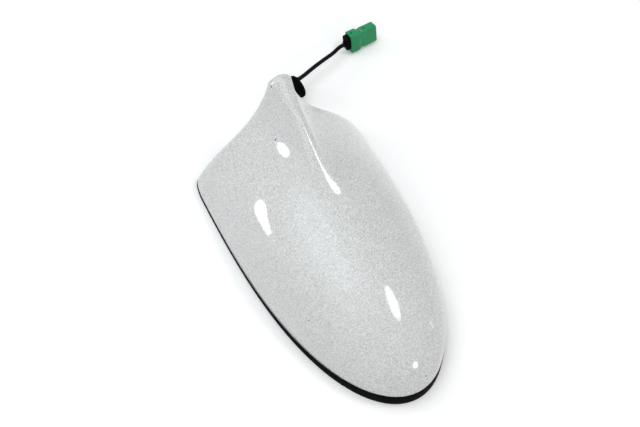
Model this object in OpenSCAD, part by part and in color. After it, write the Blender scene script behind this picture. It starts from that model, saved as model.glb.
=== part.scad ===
// Shark fin aerial for a car roof. All lengths are in millimetres.
// The roof plane is z = 0 and the nose points along +X.
// The origin is the fixing thread's axis in the roof plane, at the middle of the outline.

/* [Outline] */
// Overall length along the roof
length = 161; // [150:1:180]
// Greatest width, near the rear
width = 94.8; // [88:0.2:104]
// Width of the rear edge
rear_width = 90; // [80:1:92]
// Distance of the widest place from the rear edge
widest_back = 14; // [8:1:24]
// Fullness of the nose in plan, from pointed to square
nose_fullness = 2.73; // [2:0.01:3.2]
// Radius of the two rear corners in plan
corner_r = 4; // [3:0.5:8]
// Length of the nose, over which the outline closes
bow_l = 70; // [55:1:85]

/* [Shell] */
// Wall of the moulded shell
wall = 2.2; // [1.6:0.1:2.8]
// Height of the hood's crown over the shell's lower edge
hood_h = 38.2; // [36:0.1:42]
// Height of the hood's crown at the rear edge
hood_rear_h = 28.6; // [26:0.1:32]
// Distance of the hood's highest place from the rear edge
hood_back = 58; // [50:1:70]
// How late the hood falls towards the nose, and how blunt it ends there
hood_fall = 2; // [1.8:0.05:2.3]
hood_close = 0.55; // [0.45:0.01:0.65]
// Height of the fin over the hood at the rear edge
fin_h = 34; // [28:0.5:40]
// Length over which the fin runs out into the hood
fin_run = 64; // [58:1:72]
// Softness of the fin's run-out into the hood
fin_blend = 0.2; // [0.05:0.01:0.4]
// Half width of the fin's flat top at the rear edge
ridge_half = 6; // [5:0.1:7]
// Half width of the fin's flat top halfway along
ridge_waist = 2.8; // [2.6:0.1:4]
// Round of the fin's top across its width
ridge_round = 2.5; // [1:0.1:3]
// Distance from the rear over which the flanks turn from slack to full
soft_run = 70; // [60:1:80]
// Reach of the hollow cheek beside the fin
cheek = 8.5; // [7:0.1:11]
// Round of the upper rear edge
rear_edge_r = 1.5; // [0.5:0.1:2.5]
// Distance between the stiffening ribs
rib_pitch = 25; // [20:1:27]
// Thickness of the stiffening ribs under the crown
rib_t = 1.4; // [1:0.1:2]
// Depth of the stiffening ribs at the crown
rib_depth = 7; // [5:0.5:9]

/* [Rim gasket] */
// Height of the gasket's outer face at the rear
gasket_rear_h = 1.9; // [1.8:0.1:3]
// Height of the gasket's outer face at the nose
gasket_nose_h = 7.4; // [6:0.1:8]
// Distance from the rear edge at which the gasket starts to rise
gasket_rise_from = 55.5; // [45:0.5:65]
// How far the gasket's foot stands out past the shell
gasket_flare = 0.3; // [0.2:0.1:0.8]
// Width of the gasket's sealing face on the roof
gasket_foot_w = 9; // [7:0.5:11]
// Thickness of the gasket under the base plate
gasket_foot_t = 1.2; // [1:0.1:1.6]
// Width and height of the cable notch through the rear of the gasket and the shell
notch_w = 3.6; // [3.2:0.1:5]
notch_h = 3; // [2.8:0.1:3.4]

/* [Base plate] */
// Thickness of the base plate
base_t = 2.2; // [1.8:0.1:3]
// Clearance of pieces that fit into each other
fit_gap = 0.1; // [0.05:0.01:0.15]
// Clearance between the base plate's edge and the shell
edge_gap = 1; // [0.9:0.1:1.2]
// Clearance between the shell's lower edge and the gasket
seat_gap = 0.05; // [0.02:0.01:0.1]
// Height of the collars around the housing screws
collar_h = 2.4; // [2:0.1:3]
// Diameter of those collars and of the posts in the shell
post_d = 8; // [7:0.1:10]
// Distance of the rear and middle screws from the outline's rear and sides
post_in = 14; // [13:0.5:16]
// Distance of the front screw from the nose
post_nose_in = 18.5; // [17:0.5:24]
// Place of the middle pair of screws ahead of the fixing thread
post_mid_x = 6; // [0:1:12]
// Gap between the adhesive pad and the gasket's sealing face
pad_gap = 2; // [1:0.5:4]
// Thickness of the base plate's braces ahead of the board
brace_t = 1.6; // [1.2:0.1:2]
// Width of the adhesive pad's ring
pad_w = 12; // [10:0.5:14]
// How far the adhesive pad stands back from the roof plane
pad_recess = 0.2; // [0.1:0.1:0.5]

/* [Fixing thread] */
// Wall radius of the M5 fixing thread at its minor diameter
thread_r = 2.1; // [1.6:0.05:2.6]
// Diameter of the brass insert
insert_d = 8; // [7:0.1:9]
// Length of the brass insert
insert_l = 7; // [5:0.1:7.5]
// Depth of the thread in the insert
thread_l = 6; // [4:0.1:6.2]
// How far the insert's mouth stands back from the roof plane
insert_recess = 0.5; // [0.2:0.1:1]

/* [Screws] */
// Shank diameter of the housing screws
screw_d = 3; // [2.5:0.1:3.5]
// Length of the housing screws under the head
screw_l = 10; // [8:0.5:12]
// Head diameter of the housing screws
screw_head_d = 5.4; // [5:0.1:6]
// Head height of the housing screws
screw_head_h = 2; // [1.5:0.1:2.2]
// Shank diameter of the board screws
board_screw_d = 2.2; // [1.8:0.1:2.6]
// Length of the board screws under the head
board_screw_l = 6; // [4:0.5:6.5]
// Head diameter of the board screws
board_screw_head_d = 4.2; // [3.8:0.1:5]
// Head height of the board screws
board_screw_head_h = 1.5; // [1:0.1:2]

/* [Circuit board] */
// Distance of the board's rear edge from the outline's rear
board_in = 14.5; // [13:0.5:16]
// Reach of the board ahead of the fixing thread
board_front = 22; // [20:1:24]
// Width of the board
board_w = 36; // [34:1:40]
// Thickness of the board
board_t = 1.6; // [1:0.1:2]
// Height of the board's underside over the roof plane
board_z = 9; // [8.9:0.1:10]
// Distance of the board screws from the board's edges
board_screw_in = 3.5; // [3:0.5:5]
// Length of the shield can
can_l = 26; // [20:1:30]
// Width of the shield can
can_w = 20; // [16:1:24]
// Height of the shield can
can_h = 4; // [3:0.5:6]
// Sheet thickness of the shield can and the contact clip
sheet_t = 0.4; // [0.3:0.1:0.6]
// Side of the amplifier chip's body
chip_w = 5; // [4:0.1:6]
// Diameter and height of the two can capacitors
cap_d = 6.3; // [5:0.1:6.4]
cap_h = 5.4; // [5:0.1:8]
// Outer diameter, bore and height of the ferrite ring
ferrite_d = 9; // [8:0.1:10]
ferrite_bore = 4.6; // [4:0.1:5]
ferrite_h = 4; // [3:0.1:5]

/* [Aerial element] */
// Distance of the coil's axis from the outline's rear
coil_in = 23.5; // [22:0.5:25]
// Diameter of the wire coil between wire centres
coil_d = 8.8; // [8:0.1:9.4]
// Diameter of the coil's wire
wire_d = 0.9; // [0.6:0.1:1.1]
// Number of turns of the coil
coil_turns = 9; // [5:1:10]
// Height of the coil
coil_h = 20; // [16:1:22]
// Thickness of the holder's foot on the board
holder_foot_t = 2; // [1.5:0.1:3]
// Length and width of the holder's foot
holder_foot_l = 14; // [13.5:0.5:15]
holder_foot_w = 12; // [10:0.5:14]
// Height of the holder's core over its foot
holder_h = 24; // [22.5:0.5:25]
// Thickness of the top plate in the fin
plate_t = 0.6; // [0.4:0.1:0.8]
// Clearance of the top plate under the fin
plate_gap = 2; // [1.5:0.1:3]
// Depth of the slot that holds the top plate
slot_h = 4; // [3:0.5:6]

/* [Cable] */
// Diameter of the coaxial cable
cable_d = 2.2; // [2:0.1:2.4]
// Diameter of the rubber gland where the cable enters the base
gland_d = 5; // [4.4:0.1:5.2]
// Length of the gland's body
gland_l = 6; // [5:0.5:7]
// Distance of the gland's mouth from the outline's rear
gland_in = 24.5; // [24:0.5:26]
// Slope of the gland and of the cable through it, in degrees
gland_slope = 20; // [18:1:22]
// Diameter of the grommet's flange
grommet_d = 13.2; // [12.8:0.1:16]
// Thickness of the grommet's flange
grommet_t = 2; // [1.8:0.1:4]
// Diameter of the grommet's neck, which plugs the roof hole
grommet_neck_d = 10.4; // [10.2:0.1:11]
// Length of the grommet's neck behind the flange
grommet_neck_l = 4; // [3:0.5:5]
// Length of the grommet's boot on the cable
grommet_boot_l = 2.2; // [1.8:0.1:4]
// How far the flange's middle lies below the cable's bore, and beside it
grommet_drop = 1; // [0.5:0.1:1.2]
grommet_shift = 2.8; // [2:0.1:3]
// Slope of the cable through the grommet, in degrees
grommet_tilt = 4; // [0:1:6]

/* [Connector] */
// Length of the green connector body
plug_l = 17.2; // [16:0.1:20]
// Height of the connector body as it lies
plug_h = 11.6; // [11.2:0.1:12.4]
// Width of the connector body as it lies
plug_w = 6.4; // [6.2:0.1:7.5]
// Roll of the connector on its side as it lies, in degrees
plug_roll = 14; // [8:1:18]
// Length of the connector's collar at the cable end
plug_collar_l = 5.8; // [5:0.1:6]
// How much the collar stands out past the waist
plug_step = 0.5; // [0.4:0.1:0.6]
// Length of the rubber seal behind the connector
seal_l = 3; // [2.6:0.1:4]
// Thickness of the seal's oval flange
seal_flange_t = 1.8; // [1:0.1:2]
// How far the seal's flange sits above the connector's middle
seal_lift = 0.8; // [0:0.1:1]
// Radius of the contact barrels in the connector
contact_r = 1.1; // [0.9:0.05:1.3]
// Wall of the contact barrels
contact_wall = 0.25; // [0.2:0.05:0.35]
// Distance between the two contact barrels
contact_pitch = 4.4; // [3.8:0.1:4.5]

/* [Hidden] */
$fn = 48;

// Steps of the two skins along the shell and across each side of it
flank_steps = 13;
back_steps = 15;
nose_steps = 12;

rear_x = -length / 2;
nose_x = length / 2;
half_w = width / 2;
shell_in = gasket_flare;
cavity_in = gasket_flare + wall;
base_in = cavity_in + edge_gap;
base_bottom = gasket_foot_t;
base_top = base_bottom + base_t;
board_top = board_z + board_t;

// Housing screws: the head's seat in its counterbore and the joint of collar and post
screw_seat_z = base_bottom + 0.4 + screw_head_h;
post_z = base_top + collar_h;
post_places = [[rear_x + post_in, half_w - post_in], [rear_x + post_in, post_in - half_w],
  [post_mid_x, half_w - post_in], [post_mid_x, post_in - half_w], [nose_x - post_nose_in, 0]];
rib_places = [for (i = [0 : 2]) rear_x + hood_back + 11 + i * rib_pitch];

// Board screws stand at the board's corners
board_l = board_front - rear_x - board_in;
board_x = board_front - board_l / 2;
board_screw_places = [for (sx = [-1, 1], sy = [-1, 1])
  [board_x + sx * (board_l / 2 - board_screw_in), sy * (board_w / 2 - board_screw_in)]];
board_post_d = board_screw_head_d + 1.8;

// Aerial element: the holder stands on the board behind the fixing thread
holder_z = board_top + holder_foot_t;
holder_top = holder_z + holder_h;
core_r = (coil_d - wire_d) / 2 - 0.3;
coil_x = rear_x + coil_in;
peg_x = holder_foot_l / 2 - 1.5;
peg_d = 2;
plate_from = coil_x - 15;
plate_to = coil_x + 19;

// Parts on the board: the capacitors behind the can, and the ferrite between them and the holder
cap_foot = cap_d + 0.3;
cap_x = -can_l / 2 - 7;
cap_y = can_w / 2 - 1;
ferrite_x = (coil_x + holder_foot_l / 2 + cap_x - cap_foot / 2) / 2;

// Cable: the channel under the base plate ends at the gland's outer face
channel_w = notch_w;
channel_top = cable_d + 0.4;
channel_wall = 1.6;
gland_mouth = [rear_x + gland_in, 0, 2.9];
gland_bore = cable_d + 2 * fit_gap;
lead_l = (board_z - gland_mouth.z) / sin(gland_slope);

// The grommet is threaded on the cable and stands on the surface with its flange
grommet_turn = 104;
grommet_way = [cos(grommet_turn) * cos(grommet_tilt), sin(grommet_turn) * cos(grommet_tilt),
  sin(grommet_tilt)];
grommet_at = [-114.14, 26.13, (grommet_drop + grommet_d / 2) * cos(grommet_tilt)];

// The connector lies rolled on its side at the cable's end; its own X axis leaves the cable
plug_turn = 97.5;
plug_way = [cos(plug_turn), sin(plug_turn), 0];
plug_mid = plug_h / 2;
plug_at = [-128.9, 67.25, plug_mid * cos(plug_roll) + plug_w / 2 * sin(plug_roll)];

// Cable route: along the roof through the notch, behind the fin to the grommet, then over its
// crest and down to the seal, which it enters along the connector's axis
under_z = cable_d / 2 + 0.1;
notch_at = [rear_x - 3.5, 0, under_z];
neck_at = grommet_at - (grommet_neck_l + 2) * grommet_way;
boot_at = grommet_at + (grommet_t + grommet_boot_l) * grommet_way;
crest_at = [-120, 43, 8];
fall_at = [-124.1, 54, 7.45];
fall_way = (fall_at - crest_at) / norm(fall_at - crest_at) - [0, 0, 0.04];
seal_at = plug_at - seal_l * plug_way;
straight = 0.6;
route = concat(
  [gland_mouth, [gland_mouth.x - 2.2, 0, 2.1], [gland_mouth.x - 5, 0, under_z + 0.05],
    [gland_mouth.x - 8, 0, under_z], [rear_x + 8.5, 0, under_z], notch_at],
  bend(notch_at, neck_at, [-1, 0, 0.04], grommet_way, 9),
  [neck_at, grommet_at, boot_at],
  bend(boot_at, crest_at, grommet_way, [fall_way.x, fall_way.y, 0], 4),
  [crest_at],
  bend(crest_at, fall_at, [fall_way.x, fall_way.y, 0], fall_way, 4),
  [fall_at],
  bend(fall_at, seal_at - straight * plug_way, fall_way, plug_way, 6),
  [seal_at - straight * plug_way, seal_at]);

pocket_l = 3.2;
seal_in = 1.4;
barrel_r = contact_r + contact_wall;
front_cavity_x = 8.4;

// Points of a smooth bend between two places, which leaves and arrives along the given ways
function bend(from, to, way_from, way_to, n) =
  let (reach = norm(to - from))
  [for (i = [1 : n - 1])
    let (t = i / n)
    pow(1 - t, 2) * ((1 + 2 * t) * from + t * reach * way_from)
      + t * t * ((3 - 2 * t) * to - (1 - t) * reach * way_to)];

// Share of the way between two stations, held between 0 and 1
function share(x, from, to) = min(1, max(0, (x - from) / (to - from)));

// Inset that the rounded rear corner takes from the half width at a station
function corner_cut(x) =
  let (t = corner_r * (1 - share(x, rear_x, rear_x + corner_r)))
  corner_r - sqrt(max(0, corner_r * corner_r - t * t));

// Half width of the outline at a station, measured on the roof plane
function outline_half(x) =
  let (wide_x = rear_x + widest_back,
       back = share(x, wide_x, rear_x),
       front = share(x, wide_x, nose_x))
  (x < wide_x
    ? half_w - (half_w - rear_width / 2) * back * back
    : half_w * sqrt(max(0, 1 - pow(front, nose_fullness)))) - corner_cut(x);

// Stations from the rear edge to just behind the nose's tip
turn_x = rear_x + corner_r;
bow_x = nose_x - bow_l;
stations = concat(
  [for (a = [0 : 30 : 60]) rear_x + corner_r * (1 - cos(a))],
  [for (i = [0 : back_steps - 1]) turn_x + (bow_x - turn_x) * i / back_steps],
  [for (i = [0 : nose_steps - 1]) bow_x + (nose_x - bow_x) * sin(90 * i / nose_steps)]);

// An inset follows the outline by scaling it about the middle, which keeps it convex
function in_x(x, inset) = x * (1 - inset / nose_x);
function in_y(y, inset) = y * (1 - inset / half_w);

// Closed plan outline at an inset, left side first
function plan(inset) = concat(
  [for (x = stations) [in_x(x, inset), in_y(outline_half(x), inset)]],
  [[in_x(nose_x, inset), 0]],
  [for (i = [len(stations) - 1 : -1 : 0])
    [in_x(stations[i], inset), -in_y(outline_half(stations[i]), inset)]]);

// Height of the shell's lower edge, which rises to the nose with the roof's crown
function lip_z(x) =
  gasket_rear_h + (gasket_nose_h - gasket_rear_h) * pow(share(x, rear_x + gasket_rise_from, nose_x), 1.4);

// Height of the hood's crown over the lip, full at hood_back and closing at the nose
function crown_h(x, drop) =
  let (top_x = rear_x + hood_back,
       rise = sin(90 * share(x, rear_x, top_x)),
       run = share(x, top_x, nose_x))
  x < top_x
    ? hood_rear_h - drop + (hood_h - hood_rear_h) * rise
    : (hood_h - drop) * pow(max(0, 1 - pow(run, hood_fall)), hood_close);

// Share of the fin that is left at a station, and the same with a soft run-out for its height
function fin_left(x) = 1 - share(x, rear_x, rear_x + fin_run);
function fin_rise(x) =
  let (left = 1 - (x - rear_x) / fin_run)
  (left + sqrt(left * left + fin_blend * fin_blend)) / 2;

// Half width of the fin's top: wide at the rear, waisted, and flaring out where the fin dies away
function ridge_y(x, inset) =
  let (k = 1 - fin_left(x))
  max(0.8, ridge_waist + (ridge_half - ridge_waist) * pow(1 - k, 5) + 5 * pow(k, 4) - inset);

// Reach of the cheek at a station, which opens as the fin runs out
function cheek_reach(x) = cheek * (1 + 1.35 * pow(1 - fin_left(x), 1.5));

// Height of a skin over the roof at a station: the hood, plus the fin with its hollow cheeks
function skin_z(x, y, half, ridge, inset, drop) =
  let (flank = max(0, 1 - pow(y / half, 2)),
       soft = 0.7 - 0.28 * share(x, rear_x, rear_x + soft_run),
       aside = max(0, abs(y) - ridge) / cheek_reach(x),
       round_top = ridge_round * (1 - pow(min(1, abs(y) / ridge), 2)) * fin_left(x),
       edge = drop > 0 ? 0 : rear_edge_r * (1 - sin(90 * share(x, rear_x, rear_x + corner_r))))
  lip_z(in_x(x, inset)) + crown_h(x, drop) * pow(flank, soft)
    + (fin_h * fin_rise(x) * exp(-pow(aside, 0.8)) + round_top) * sqrt(flank)
    - edge * sqrt(flank);

// Places across a section, as signed shares: 1 is the ridge's edge and 2 the lip
shares = concat(
  [for (i = [0 : flank_steps - 1]) -1 - (1 + cos(180 * i / flank_steps)) / 2],
  [-1, -0.5, 0, 0.5, 1],
  [for (i = [flank_steps - 1 : -1 : 0]) 1 + (1 + cos(180 * i / flank_steps)) / 2]);

function across(s, ridge, half) =
  abs(s) <= 1 ? s * ridge : sign(s) * (ridge + (half - ridge) * (abs(s) - 1));

// One section of a skin at a station
function section(x, inset, drop) =
  let (half = in_y(outline_half(x), inset), ridge = min(ridge_y(x, drop), half * 0.6))
  [for (s = shares)
    let (y = across(s, ridge, half))
    [in_x(x, inset), y, skin_z(x, y, half, ridge, inset, drop)]];

// The closed body under a skin, down to its lip, which is lowered by under to cut right through
module skin_body(inset, drop, under) {
  n = len(stations);
  m = len(shares);
  rows = [for (x = stations) let (row = section(x, inset, drop))
    each [for (j = [0 : m - 1]) row[j] - [0, 0, j == 0 || j == m - 1 ? under : 0]]];
  tip = n * m;
  nose = in_x(nose_x, inset);
  polyhedron(
    points = concat(rows, [[nose, 0, lip_z(nose) - under]]),
    faces = concat(
      [for (i = [0 : n - 2], j = [0 : m - 2]) [i * m + j, (i + 1) * m + j + 1, (i + 1) * m + j]],
      [for (i = [0 : n - 2], j = [0 : m - 2]) [i * m + j, i * m + j + 1, (i + 1) * m + j + 1]],
      [for (j = [0 : m - 2]) [(n - 1) * m + j, (n - 1) * m + j + 1, tip]],
      [for (i = [0 : n - 2]) [i * m, (i + 1) * m, (i + 1) * m + m - 1, i * m + m - 1]],
      [[(n - 1) * m, tip, (n - 1) * m + m - 1]],
      [for (j = [0 : (m - 5) / 2]) [m - 1 - j, m - 2 - j, j + 1, j]],
      [[(m + 1) / 2, (m - 1) / 2, (m - 3) / 2]]));
}

// A closed ring swept round the outline: each corner is an inset and a height, which may follow the lip
module outline_ring(corners) {
  c = len(corners);
  loops = [for (k = corners) plan(k[0])];
  n = len(loops[0]);
  points = [for (i = [0 : n - 1], k = [0 : c - 1])
    let (p = loops[k][i]) [p.x, p.y, corners[k][1] + corners[k][2] * lip_z(p.x)]];
  polyhedron(points = points, faces = concat(
    [for (i = [0 : n - 1], k = [0 : c - 1])
      let (a = i * c, b = (i + 1) % n * c, l = (k + 1) % c) [a + k, b + l, a + l]],
    [for (i = [0 : n - 1], k = [0 : c - 1])
      let (a = i * c, b = (i + 1) % n * c, l = (k + 1) % c) [a + k, b + k, b + l]]));
}

// A plate with the outline's form between two heights
module outline_slab(inset, low, high) {
  translate([0, 0, low])
    linear_extrude(high - low)
      polygon(plan(inset));
}

// A tube with flat ends along a list of points, its rings square to the way through each point
module swept_tube(points, r, sides) {
  n = len(points);
  ways = [for (i = [0 : n - 1])
    let (d = points[min(n - 1, i + 1)] - points[max(0, i - 1)]) d / norm(d)];
  rings = [for (i = [0 : n - 1])
    let (w = ways[i], side = cross([0, 0, 1], w) / norm(cross([0, 0, 1], w)), up = cross(w, side))
    for (k = [0 : sides - 1])
      points[i] + r * (side * cos(360 * k / sides) + up * sin(360 * k / sides))];
  polyhedron(points = rings, faces = concat(
    [[for (k = [0 : sides - 1]) k]],
    [for (i = [0 : n - 2], k = [0 : sides - 1])
      let (a = i * sides, l = (k + 1) % sides) [a + k, a + sides + l, a + l]],
    [for (i = [0 : n - 2], k = [0 : sides - 1])
      let (a = i * sides, l = (k + 1) % sides) [a + k, a + sides + k, a + sides + l]],
    [[for (k = [sides - 1 : -1 : 0]) (n - 1) * sides + k]]));
}

// Places what is drawn along +X on the gland's sloping axis, with the outer face at x = 0
module on_gland_axis() {
  translate(gland_mouth)
    rotate([0, -gland_slope, 0])
      children();
}

// A cylinder along +X from one place to another
module rod(from, to, r) {
  translate([from, 0, 0])
    rotate([0, 90, 0])
      cylinder(r = r, h = to - from);
}

// A pan head screw that points up, its head's seat at z = 0
module pan_screw(d, l, head_d, head_h) {
  difference() {
    union() {
      translate([0, 0, -head_h * 0.6])
        cylinder(d = head_d, h = head_h * 0.6);
      translate([0, 0, -head_h])
        cylinder(d1 = head_d * 0.8, d2 = head_d, h = head_h * 0.4);
      cylinder(d = d, h = l - d * 0.6);
      translate([0, 0, l - d * 0.6])
        cylinder(d1 = d, d2 = d * 0.4, h = d * 0.6);
    }
    for (turn = [0, 90])
      rotate(turn)
        translate([-head_d * 0.28, -head_d * 0.06, -head_h - 1])
          cube([head_d * 0.56, head_d * 0.12, 1 + head_h * 0.6]);
  }
}

// A rectangle with rounded corners, centred
module round_rect(l, w, r) {
  square([l - 2 * r, w], center = true);
  square([l, w - 2 * r], center = true);
  for (x = [-1, 1], y = [-1, 1])
    translate([x * (l / 2 - r), y * (w / 2 - r)])
      circle(r = r);
}

// A slot with round ends, w wide and l long along Y
module stadium(w, l) {
  square([w, l - w], center = true);
  for (s = [-1, 1])
    translate([0, s * (l - w) / 2])
      circle(d = w);
}

// One-piece moulded shell: hood, fin, hollow cheeks, screw posts and crown ribs
module housing() color("gainsboro") {
  difference() {
    skin_body(shell_in, 0, 0);
    difference() {
      skin_body(cavity_in, wall, 2);
      for (p = post_places)
        translate([p.x, p.y, post_z])
          cylinder(d = post_d, h = hood_h + fin_h);
      for (x = rib_places)
        translate([x - rib_t / 2, -half_w, lip_z(x) + crown_h(x, wall) - rib_depth])
          cube([rib_t, width, hood_h]);
    }
    for (p = post_places)
      translate([p.x, p.y, post_z - 1])
        cylinder(d = screw_d + fit_gap, h = screw_l - post_z + screw_seat_z + 2);
    translate([rear_x - 1, -notch_w / 2, -1])
      cube([cavity_in + 3, notch_w, notch_h + 1]);
  }
}

// Moulded rubber gasket: a flared skirt, a bead beside the base plate and a flange under it
module rim_gasket() color("#161616") {
  difference() {
    outline_ring([[0, 0, 0], [gasket_flare, -seat_gap, 1], [base_in, -seat_gap, 1],
      [base_in, base_bottom, 0], [gasket_foot_w, base_bottom, 0], [gasket_foot_w, 0, 0]]);
    translate([rear_x - 1, -notch_w / 2, -1])
      cube([gasket_foot_w + 2, notch_w, notch_h + 1]);
  }
}

// Ring of foam tape under the base plate, open at the rear for the cable
module adhesive_pad() color("dimgray") {
  difference() {
    outline_slab(gasket_foot_w + pad_gap, pad_recess, base_bottom);
    outline_slab(gasket_foot_w + pad_gap + pad_w, -1, base_bottom + 1);
    for (p = post_places)
      translate([p.x, p.y, -1])
        cylinder(d = screw_head_d + 3, h = base_bottom + 2);
    translate([rear_x, -channel_w / 2 - 1, -1])
      cube([length / 2, channel_w + 2, base_bottom + 2]);
  }
}

// Moulded base plate: rim, screw collars, board posts, thread boss, cable tunnel and gland sleeve
module base_plate() color("#26282b") {
  brace_from = board_front + 5;
  brace_l = nose_x - post_nose_in - 7 - brace_from;
  brace_y = 14;
  brace_half = 0.6 * outline_half(brace_from + brace_l / 2);
  rim_in = base_in + 2.6;
  sleeve_top = board_z - 0.3;
  difference() {
    union() {
      outline_slab(base_in, base_bottom, base_top);
      difference() {
        outline_slab(rim_in, base_top - 0.5, post_z - 0.3);
        outline_slab(rim_in + 1.6, base_top - 1, post_z);
      }
      for (p = post_places)
        translate([p.x, p.y, base_top - 0.5])
          cylinder(d = post_d, h = collar_h + 0.5);
      for (p = board_screw_places)
        translate([p.x, p.y, base_top - 0.5])
          cylinder(d = board_post_d, h = board_z - base_top + 0.5);
      translate([0, 0, insert_recess])
        cylinder(d = insert_d + 5, h = insert_l + 0.8);
      translate([gland_mouth.x + 2, 0, 0])
        mirror([1, 0, 0])
          translate([0, -channel_w / 2 - channel_wall, base_bottom])
            cube([gland_mouth.x - rear_x - rim_in, channel_w + 2 * channel_wall,
              channel_top + channel_wall - base_bottom]);
      for (s = [-1, 1])
        translate([brace_from, s * brace_y - brace_t / 2, base_top - 0.5])
          cube([brace_l, brace_t, 3]);
      translate([brace_from + brace_l / 2, -brace_half, base_top - 0.5])
        cube([brace_t, 2 * brace_half, 3]);
      intersection() {
        on_gland_axis()
          rod(-2, gland_l + 1.5, gland_d / 2 + 1.5);
        translate([gland_mouth.x - gland_l, -gland_d, base_bottom])
          cube([3 * gland_l, 2 * gland_d, sleeve_top - base_bottom]);
      }
    }
    translate([0, 0, -1])
      cylinder(d = insert_d, h = insert_l + insert_recess + 1);
    for (p = post_places)
      translate([p.x, p.y, 0]) {
        cylinder(d = screw_d + 2 * fit_gap, h = 2 * screw_l);
        cylinder(d = screw_head_d + 4 * fit_gap, h = screw_seat_z);
      }
    for (p = board_screw_places)
      translate([p.x, p.y, board_top - board_screw_l - 0.3])
        cylinder(d = board_screw_d + fit_gap, h = 2 * board_screw_l);
    translate([rear_x, -channel_w / 2, -1])
      cube([gland_mouth.x - rear_x - 0.3, channel_w, channel_top + 1]);
    on_gland_axis() {
      rod(-5, gland_l, gland_d / 2);
      rod(gland_l - 1, 2 * gland_l, cable_d / 2 + 0.3);
    }
  }
}

// Five housing screws, driven up from below
module base_screws() color("silver") {
  for (p = post_places)
    translate([p.x, p.y, screw_seat_z])
      pan_screw(screw_d, screw_l, screw_head_d, screw_head_h);
}

// Brass insert with two grooves that key it into its boss
module threaded_insert() color("goldenrod") {
  translate([0, 0, insert_recess])
    difference() {
      cylinder(d = insert_d, h = insert_l);
      translate([0, 0, -1])
        cylinder(r = thread_r, h = thread_l + 1);
      for (z = [insert_l * 0.3, insert_l * 0.65])
        translate([0, 0, z])
          difference() {
            cylinder(d = insert_d + 1, h = 0.6);
            translate([0, 0, -1])
              cylinder(d = insert_d - 0.8, h = 3);
          }
    }
}

module circuit_board() color("seagreen") {
  difference() {
    translate([board_x, 0, board_z])
      linear_extrude(board_t)
        round_rect(board_l, board_w, 2);
    for (p = board_screw_places)
      translate([p.x, p.y, 0])
        cylinder(d = board_screw_d + 2 * fit_gap, h = board_top + 1);
    for (s = [-1, 1])
      translate([coil_x + s * peg_x, 0, 0])
        cylinder(d = peg_d + 2 * fit_gap, h = board_top + 1);
  }
}

// Four board screws, driven down from above
module board_screws() color("silver") {
  for (p = board_screw_places)
    translate([p.x, p.y, board_top])
      mirror([0, 0, 1])
        pan_screw(board_screw_d, board_screw_l, board_screw_head_d, board_screw_head_h);
}

// Folded tin can over the amplifier, open below
module shield_can() color("lightsteelblue") {
  translate([0, 0, board_top])
    difference() {
      linear_extrude(can_h)
        round_rect(can_l, can_w, 1);
      translate([0, 0, -1])
        linear_extrude(can_h + 1 - sheet_t)
          round_rect(can_l - 2 * sheet_t, can_w - 2 * sheet_t, 0.6);
    }
}

// Amplifier chip under the can, with its legs
module amplifier_chip() color("#202124") {
  translate([0, 0, board_top]) {
    translate([-chip_w / 2, -chip_w / 2, 0.15])
      cube([chip_w, chip_w, 1.4]);
    for (s = [-1, 1], i = [-1.5 : 1 : 1.5])
      translate([i * chip_w / 4 - 0.2, s * (chip_w / 2 + 0.5) - 0.6, 0])
        cube([0.4, 1.2, 0.4]);
  }
}

// Two can capacitors on their square feet
module capacitors() color("lightgray") {
  for (s = [-1, 1])
    translate([cap_x, s * cap_y, board_top]) {
      translate([-cap_foot / 2, -cap_foot / 2, 0])
        cube([cap_foot, cap_foot, 1]);
      cylinder(d = cap_d, h = cap_h);
    }
}

// Ferrite ring of the input filter, lying on the board
module ferrite_ring() color("#3a3a3d") {
  translate([ferrite_x, ferrite_d / 2 + 3, board_top])
    difference() {
      cylinder(d = ferrite_d, h = ferrite_h);
      translate([0, 0, -1])
        cylinder(d = ferrite_bore, h = ferrite_h + 2);
    }
}

// Plastic holder: foot with two pegs, round core inside the coil and a slot for the top plate
module element_holder() color("ivory") {
  translate([coil_x, 0, 0])
    difference() {
      union() {
        translate([0, 0, board_top])
          linear_extrude(holder_foot_t)
            round_rect(holder_foot_l, holder_foot_w, 1);
        translate([0, 0, holder_z - 0.5])
          cylinder(r = core_r, h = holder_h + 0.5);
        for (s = [-1, 1])
          translate([s * peg_x, 0, board_z])
            cylinder(d = peg_d, h = board_t + 0.5);
      }
      translate([-coil_d, -plate_t / 2 - 0.05, holder_top - slot_h])
        cube([2 * coil_d, plate_t + 0.1, slot_h + 1]);
    }
}

// Wire coil that winds round the holder's core
module wire_coil() color("peru") {
  steps = 16;
  low = holder_z + wire_d / 2 + 0.1;
  swept_tube([for (i = [0 : coil_turns * steps])
    let (a = 360 * i / steps)
    [coil_x + coil_d / 2 * cos(a), coil_d / 2 * sin(a), low + coil_h * i / (coil_turns * steps)]],
    wire_d / 2, 6);
}

// Height of the hollow over the middle plane at a station
function ceiling_z(x) =
  skin_z(x, 0, in_y(outline_half(x), cavity_in), ridge_y(x, wall), cavity_in, wall);

// Flat tinned plate that follows the fin's crest and stands in the holder's slot
module top_plate() color("silver") {
  foot_x = core_r - 0.4;
  foot_z = holder_top - slot_h;
  clear_z = holder_top + 0.4;
  translate([0, plate_t / 2, 0])
    rotate([90, 0, 0])
      linear_extrude(plate_t)
        polygon(concat(
          [for (x = [plate_from : 2 : plate_to]) [x, ceiling_z(x) - plate_gap]],
          [[plate_to, clear_z], [coil_x + foot_x, clear_z], [coil_x + foot_x, foot_z],
            [coil_x - foot_x, foot_z], [coil_x - foot_x, clear_z], [plate_from, clear_z]]));
}

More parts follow.
